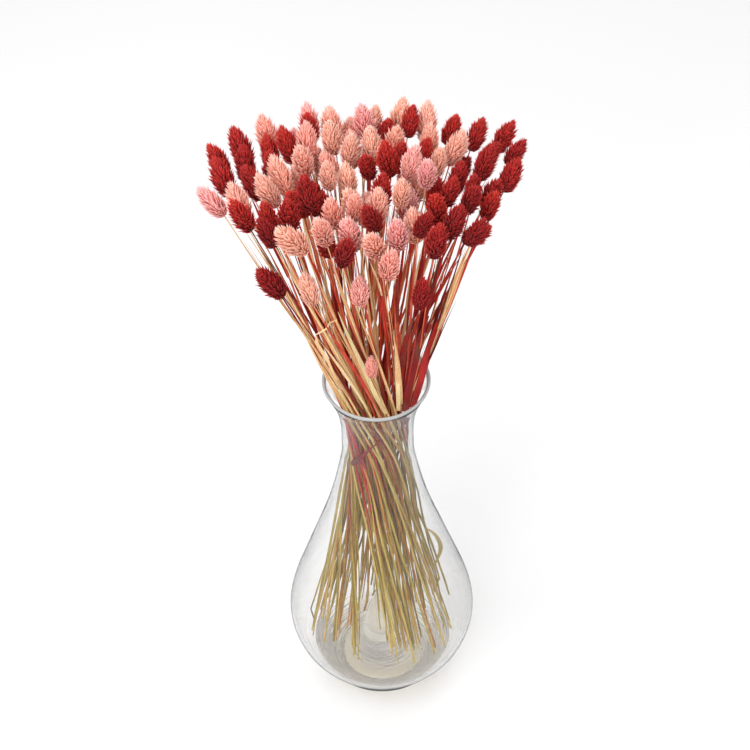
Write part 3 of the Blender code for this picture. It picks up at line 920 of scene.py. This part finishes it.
# The cupped cross-section of a leaf, one unit wide
def leafProfile():
    top, bottom = [], []
    for x in (-1.0, -0.55, 0.0, 0.55, 1.0):
        rise = ribbon["cupped"] * (1 - x * x)
        half = ribbon["thickShare"] * (1 - 0.75 * abs(x)) / 2
        top.append((x, rise + half, 0))
        bottom.append((x, rise - half, 0))
    points = bottom + top[::-1]
    mesh = bpy.data.meshes.new("leafProfile")
    mesh.from_pydata(points, [(k, (k + 1) % len(points)) for k in range(len(points))], [])
    return addObject("leafProfile", mesh)


def strawMaterial(name):
    material, tree, shader = newMaterial(name)
    where = objectSpot(tree)
    # fibres run up the stem, and its tone changes slowly
    grain = noise(tree, where, (1, 1, 0.035), 900.0, 3.0, 0.6)
    patches = noise(tree, where, (1, 1, 0.5), 55.0, 2.0, 0.6)
    tone, dye = readAttribute(tree, "tone"), readAttribute(tree, "dye")
    tone = calc(tree, "ADD", tone, span(tree, patches, 0.3, 0.7, -0.14, 0.14), clamp=True)
    low, high, dyed = (ramp(tree, tone, strawColours[key]) for key in ("low", "high", "dye"))
    # below the rim the straw takes the darker low colours: partly its own olive colour, partly painted shade
    # inside the vase
    straw = mixColour(tree, span(tree, heightOf(tree, where), 0.34, 0.42, 0.0, 1.0), low, high)
    uneven = calc(tree, "ADD", dye, span(tree, patches, 0.3, 0.7, -0.12, 0.12), clamp=True)
    base = mixColour(tree, times(tree, uneven, calc(tree, "GREATER_THAN", dye, 0.001)), straw, dyed)
    plug(tree, shader, {
        "Base Color": shadeBy(tree, base, span(tree, grain, 0.25, 0.75, 0.74, 1.14)),
        "Roughness": 0.55,
        "Specular IOR Level": 0.35,
        "Normal": bump(tree, grain, 0.5, 0.0003),
    })
    return material


# What each stalk looks like: how far it is dyed, its tone and where its sheath ends
def dressStalks():
    made = {}
    middle, right, left, front = stem["redChance"]
    for i in sorted(mates):
        at = complex(passes(glass["rimHeight"], i)) / stem["reach"]
        redChance = middle + right * max(0.0, at.real) + left * max(0.0, -at.real) + front * max(0.0, -at.imag)
        redChance += 0.18 if stalkColour[i] == "red" else -0.06
        red = looks.random() < redChance
        orange = looks.random() < stem["orangeShare"]
        base = float(stalks["base"][i])
        made[i] = {
            "dyed": red or orange,
            "tone": looks.uniform(0.82, 1.0) if orange else looks.uniform(0.0, 0.78),
            "fade": looks.uniform(*stem["fade"]) + (stem["orangeStops"] if orange else 0),
            "thick": looks.uniform(*stem["thick"]),
            "thin": looks.uniform(*stem["thin"]),
            "sheathEnds": min(looks.uniform(*stem["sheathEnds"]), base - (0.045 if base > 0.53 else 0.12)),
            "phases": [looks.uniform(0, math.tau) for _ in range(4)],
            "knots": sorted(looks.uniform(0.10, 0.40) for _ in range(stem["knots"])),
        }
        if stalks["fixed"][i] and stalkColour[i] == "red":
            made[i].update(dyed=True, tone=0.12)
    return made


# A stem's middle line with its own small bends, kept clear of the glass by a margin
def bentStem(i, height, margin):
    foot, base = feet[i], float(stalks["base"][i])
    share = math.sin(math.pi * min(1.0, max(0.0, (height - foot) / (base - foot))))
    a, b, c, d = dresses[i]["phases"]
    x = math.sin(height * 33 + a) + 0.25 * math.sin(height * 84 + b)
    y = math.sin(height * 29 + c) + 0.25 * math.sin(height * 91 + d)
    return keepClear(stemAt(i, height) + Vector((x, y, 0)) * stem["wander"] * share, margin)


def dyeAt(dress, height):
    if not dress["dyed"]:
        return 0.0
    return smoothStep(dress["fade"] - 0.05, dress["fade"] + 0.03, height)


def growStems(colour):
    lines = {"points": [], "edges": []}
    for i in [i for i in sorted(mates) if stalkColour[i] == colour]:
        dress = dresses[i]
        base = float(stalks["base"][i])
        heights = list(np.arange(feet[i], base - 0.004, stem["step"])) + [base]
        for knot in dress["knots"]:
            heights += [knot - stem["knotLength"], knot, knot + stem["knotLength"]]
        heights += [dress["sheathEnds"], dress["sheathEnds"] + 0.003]
        for k, height in enumerate(sorted(h for h in set(heights) if feet[i] <= h <= base)):
            bare = smoothStep(dress["sheathEnds"], dress["sheathEnds"] + stem["taper"], height)
            thick = dress["thick"] + (dress["thin"] - dress["thick"]) * (0.35 * bare + 0.65 * bare**0.5)
            for knot in dress["knots"]:
                if abs(height - knot) < 0.0002:
                    thick *= stem["knotSwell"]
            carried = {"thick": thick, "tone": dress["tone"], "dye": dyeAt(dress, height)}
            addPoint(lines, k, bentStem(i, height, 0.0026), **carried)
        addPoint(lines, True, Vector(lines["points"][-1]) + headLine(i)[1] * stem["sinks"], **carried)
    values = {"Sides": stem["sides"], "Thickness": 1.0, "Material": strawMaterial(colour + " stems")}
    return grow(colour + "_stems", lines, tree, values)


# One flat leaf or sheath along a stem, round it by an angle
def addRibbon(lines, i, plan, angle, twist, dyed, tone):
    start, length, width, bow, pointed, apart = plan
    dress = {**dresses[i], "dyed": dyed}
    for k in range(ribbon["points"]):
        share = k / (ribbon["points"] - 1)
        height = start + length * share
        middle = bentStem(i, height, 0.0035)
        outward = Matrix.Rotation(angle, 3, "Z") @ Vector((middle.x, middle.y, 0)).normalized()
        across = outward.cross(Vector((0, 0, 1)))
        aside = across * apart * (share if pointed else (1 - share))**1.3
        if pointed:
            swell = min(1.0, 0.72 + share * 1.2) * (1 - smoothStep(0.45, 1.02, share)) + 0.05
        else:
            swell = smoothStep(-0.12, 0.14, share) * (1 - 0.75 * smoothStep(0.86, 1.02, share))
        at = middle + outward * (0.18 * width + bow * share**1.8) + aside
        addPoint(lines, k, keepClear(at, width * 0.6 + 0.0008), thick=width / 2 * swell, tone=tone,
                 dye=dyeAt(dress, height), twist=twist * (share - 0.3), across=tuple(across))


def addLooseBit(lines, tone, dye, widths, points):
    steps = 4
    line = [point / 1000 for point in through(points, steps)]
    for k, point in enumerate(line):
        along = line[min(k + 1, len(line) - 1)] - line[max(k - 1, 0)]
        across = along.cross(Vector((-0.1, -0.9, 0.42))).normalized()
        width = float(np.interp(k / steps, range(len(widths)), widths)) / 1000
        addPoint(lines, k, point, thick=width / 2, tone=tone, dye=dye, twist=0.5 * k / len(line),
                 across=tuple(across))


# What lies along a stalk: start, length, width, bow, whether pointed, how far its free end is aside
def planRibbons(i):
    between = looks.uniform
    base = float(stalks["base"][i])
    plans = []
    sheath, blade, straw = ribbon["sheath"], ribbon["blade"], ribbon["straw"]
    if looks.random() < sheath["chance"]:
        start = between(*sheath["starts"])
        end = min(between(*sheath["ends"]), base - 0.02)
        plans.append((start, end - start, between(*sheath["width"]), ribbon["close"], False, 0.0))
    for _ in range(blade["tries"]):
        if looks.random() < blade["chance"]:
            start = between(*blade["starts"])
            end = min(start + between(*blade["length"]), base - 0.006)
            least, most = blade["width"]
            width = least + (most - least) * looks.random() ** 2.6
            bow = between(*blade["bow"])
            plans.append((start, end - start, width, bow, True, looks.gauss(0, blade["apart"])))
    if looks.random() < straw["chance"]:
        start = max(feet[i], between(*straw["starts"]))
        length = between(*straw["ends"]) - start
        width = between(*straw["width"])
        plans.append((start, length, width, ribbon["close"], False, looks.gauss(0, straw["apart"])))
    if i in leafPlans:
        start, length, bow = leafPlans[i]
        plans.append((start - 0.02, length + 0.02, ribbon["leafWidth"], bow, True, 0.0))
    return plans[:1] if stalks["fixed"][i] else plans


def growRibbons(colour):
    lines = {"points": [], "edges": []}
    # every stalk draws its leaves, whichever piece they go to, so that the order of draws holds
    for i in sorted(mates):
        for plan in planRibbons(i):
            start, bow = plan[0], plan[3]
            angle = looks.uniform(-2.6, 2.6) if bow < 0.002 else looks.uniform(-0.3, 0.3)
            twist = looks.uniform(-1.6, 1.6)
            same = looks.random() < 0.72
            tone = looks.uniform(0.0, 1.0)
            dyed = dresses[i]["dyed"] if same else looks.random() < 0.45
            if start < 0.3 and dyed:
                tone = min(tone, 0.62)
            if bow > 0.002:
                dyed = abs(passes(glass["rimHeight"], i).real) > ribbon["dyedFrom"]
            if stalkColour[i] == colour:
                addRibbon(lines, i, plan, angle, twist, dyed, tone)
    for piece, *bit in looseBits:
        if piece == colour:
            addLooseBit(lines, *bit)
    values = {"Profile": profile, "Thickness": 1.0, "Material": strawMaterial(colour + " leaves")}
    return grow(colour + "_leaves", lines, tree, values)


for i in feet:
    need, side = min((keepToSide(i, side), side) for side in (-1, 1))
    if need < bunch["parting"]["most"]:
        strays[i] += side * need
dresses = dressStalks()
tree = sweptTree("straw along a line", False)
for colour in pieces:
    pieces[colour].append(growStems(colour))
profile = leafProfile()
tree = sweptTree("flat leaf along a line", True)
for colour in pieces:
    pieces[colour].append(growRibbons(colour))
bpy.data.objects.remove(profile)
print("stems and leaves grown")


# The vase: one turned wall of clear glass with a rounded lip and a thick floor

def vaseProfile():
    steps = glass["stepsEach"]
    outside = through(glass["outside"][:-1], steps)
    inside = through(insideWall(), steps)
    floor = through((inside[-1], (0.0560, 0.0245), glass["bump"][-1]), steps)
    mound = through(((-0.0052, 0.0988),) + glass["bump"], steps)[steps:]
    lipRadius = glass["wall"] / 2
    lipMiddle = Vector((glass["outside"][0][0] - lipRadius, glass["outside"][0][1]))
    angles = [math.pi * (1 - k / 8) for k in range(1, 8)]
    lip = [lipMiddle + Vector((math.cos(angle), math.sin(angle))) * lipRadius for angle in angles]
    heel = [Vector(p) for p in glass["heel"]]
    return mound[:-1] + floor[::-1][:-1] + inside[::-1] + lip + outside + heel


def buildVase():
    top, *line = vaseProfile()
    rings = []
    for p in line:
        low = max(0.0, 1 - p.y / glass["knurlsEnd"]) if 0.034 < p.x < 0.046 else 0.0
        rings.append(ring(p.x, p.y, glass["sides"], glass["knurls"], low * glass["knurlDepth"]))
    made = turnedShape("glass_vase", (0, 0, top.y), rings, (0, 0, glass["heel"][-1][1]))
    print("glass_vase", len(made.data.polygons), "faces")
    return made


glassColours = {
    # painted shade: the glass darkens where it turns edge-on, standing in for the dark surroundings it shows
    # there; the stops run from where it faces the eye to where it is edge-on
    "wall": (
        (0.0, (1.0, 1.0, 1.0)), (0.62, (0.996, 0.998, 0.998)), (0.82, (0.95, 0.955, 0.96)),
        (0.93, (0.74, 0.75, 0.76)), (1.0, (0.40, 0.42, 0.44))),
    # painted shade of the foot, standing in for the shaded floor beneath it
    "foot": (0.92, 0.89, 0.82),
    # painted pale ring on the lip, standing in for the light it catches
    "lip": (0.50, 0.51, 0.51),
    # how much light goes through, by height in decimetres
    "shadow": ((0.0, (0.66, 0.62, 0.54)), (0.20, (0.74, 0.71, 0.64)), (0.6, (1.0, 1.0, 1.0))),
}


def glassMaterial():
    material, tree, shader = newMaterial("clear glass")
    where = objectSpot(tree)
    height = heightOf(tree, where)
    facing = addNode(tree, "ShaderNodeLayerWeight", {"Blend": 0.5}, pick="Facing")
    # painted shade: the foot is darkened and warmed, standing in for the shaded floor under the vase and the
    # straw seen in it
    foot = span(tree, height, 0.012, 0.028, 1.0, 0.0)
    # painted shade on the glass, darkest where it is edge-on
    paintedShade = ramp(tree, facing, glassColours["wall"])
    paintedShade = mixColour(tree, foot, paintedShade, glassColours["foot"], blend="MULTIPLY")
    # painted light: the rounded lip is a pale grey ring that lets less light through, standing in for the
    # light the lip catches
    lip = span(tree, height, 0.3926, 0.3938, 0.0, 1.0)
    # blown glass is a little wavy, and turned rings show near the foot
    waves = noise(tree, where, (1, 1, 1), 38.0, 1.0)
    rings = noise(tree, where, (0.22, 0.22, 3.0), 85.0, 2.0)
    low = span(tree, height, 0.020, 0.070, 2.2, 0.0)
    relief = calc(tree, "ADD", times(tree, waves, 0.04), times(tree, rings, low))
    plug(tree, shader, {
        "IOR": 1.46,
        "Specular IOR Level": 0.12,
        "Base Color": mixColour(tree, lip, paintedShade, glassColours["lip"]),
        "Roughness": span(tree, height, 0.0008, 0.0016, 0.45, 0.0),      # the underside is ground
        "Transmission Weight": calc(tree, "SUBTRACT", 1.0, times(tree, lip, 0.80)),
        "Normal": bump(tree, relief, 0.42, 0.002),
    })
    # lamps shine through the wall, and less through the thick foot
    shadowRay = addNode(tree, "ShaderNodeLightPath", pick="Is Shadow Ray")
    shade = ramp(tree, times(tree, height, 10.0), glassColours["shadow"])
    clear = addNode(tree, "ShaderNodeBsdfTransparent", {"Color": shade})
    mixed = addNode(tree, "ShaderNodeMixShader", {0: shadowRay, 1: shader.outputs[0], 2: clear})
    plug(tree, tree.nodes["Material Output"], {"Surface": mixed})
    return material


pieces["vase"] = [buildVase()]
pieces["vase"][0].data.materials.append(glassMaterial())


# Every piece rides on the one body and stands for its solids

for start, slot in (("vase", "glass"), ("red", "red_grass"), ("pink", "pink_grass")):
    nodes = [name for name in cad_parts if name.startswith(start)]
    for piece in pieces[start]:
        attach(piece, "root")
        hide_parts(*nodes)


# Studio: pale floor, soft lamps and the camera

studio = {
    "floorSize": 12.0,
    "floorDrop": 0.0004,
    "floorColour": (0.78, 0.78, 0.783, 1),
    "sky": ((0.0, 0.14), (0.25, 0.30), (0.6, 0.48), (1.0, 0.50)),   # grey by height, from the horizon up
    # place, width, height and power of each soft lamp, aimed at the middle of the bunch, and
    # whether it shows as a highlight
    "lamps": (
        ((-0.9, -0.6, 2.6), 1.6, 1.6, 45.0, True),
        ((1.6, -0.9, 1.8), 0.9, 1.6, 16.0, False),
        ((0.2, 1.6, 2.2), 1.6, 0.8, 19.0, False),
        ((-0.5, -2.4, 1.9), 1.8, 1.2, 40.0, False),
    ),
    "aim": (0.0, 0.0, 0.35),
}

camera = {
    "place": (0.0, -0.884, 1.388),
    "tilt": 48.3,
    "roll": -1.4,
    "lens": 81.6,
    "middle": (376.2, 378.5),   # pixel of a 750 by 750 picture that the camera's axis passes through
}


def buildFloor():
    half, low = studio["floorSize"] / 2, -studio["floorDrop"]
    mesh = bpy.data.meshes.new("floor")
    corners = [(x * half, y * half, low) for x, y in ((-1, -1), (1, -1), (1, 1), (-1, 1))]
    mesh.from_pydata(corners, [], [(0, 1, 2, 3)])
    material, tree, shader = newMaterial("pale floor")
    plug(tree, shader, {"Base Color": studio["floorColour"], "Roughness": 0.8})
    mesh.materials.append(material)
    floor = addObject("floor", mesh)
    floor.visible_glossy = False      # nothing glares back from the glass


def buildLights():
    world = bpy.data.worlds.new("studio")
    world.use_nodes = True
    tree = world.node_tree
    up = heightOf(tree, addNode(tree, "ShaderNodeTexCoord", pick="Generated"))
    grey = [(place, (level,) * 3) for place, level in studio["sky"]]
    plug(tree, tree.nodes["Background"], {0: ramp(tree, up, grey)})
    scene.world = world
    for place, width, height, power, shows in studio["lamps"]:
        data = bpy.data.lights.new("soft lamp", "AREA")
        data.shape = "RECTANGLE"
        data.size, data.size_y, data.energy = width, height, power
        lamp = addObject("soft lamp", data)
        lamp.location = place
        lamp.visible_glossy = shows
        lamp.visible_transmission = False
        towards = Vector(studio["aim"]) - Vector(place)
        lamp.rotation_euler = towards.to_track_quat("-Z", "Y").to_euler()


def buildCamera():
    data = bpy.data.cameras.new("camera")
    data.sensor_width = 36
    data.lens = camera["lens"]
    data.shift_x = (375 - camera["middle"][0]) / 750
    data.shift_y = (camera["middle"][1] - 375) / 750
    eye = addObject("camera", data)
    tilt = Matrix.Rotation(math.pi / 2 - math.radians(camera["tilt"]), 4, "X")
    roll = Matrix.Rotation(math.radians(camera["roll"]), 4, "Z")
    eye.matrix_world = Matrix.Translation(camera["place"]) @ tilt @ roll
    scene.camera = eye


buildFloor()
buildLights()
buildCamera()
scene.view_settings.view_transform = "Standard"
scene.cycles.max_bounces = 24
scene.cycles.transmission_bounces = 24
scene.cycles.glossy_bounces = 16
scene.cycles.caustics_reflective = False
print("studio set")
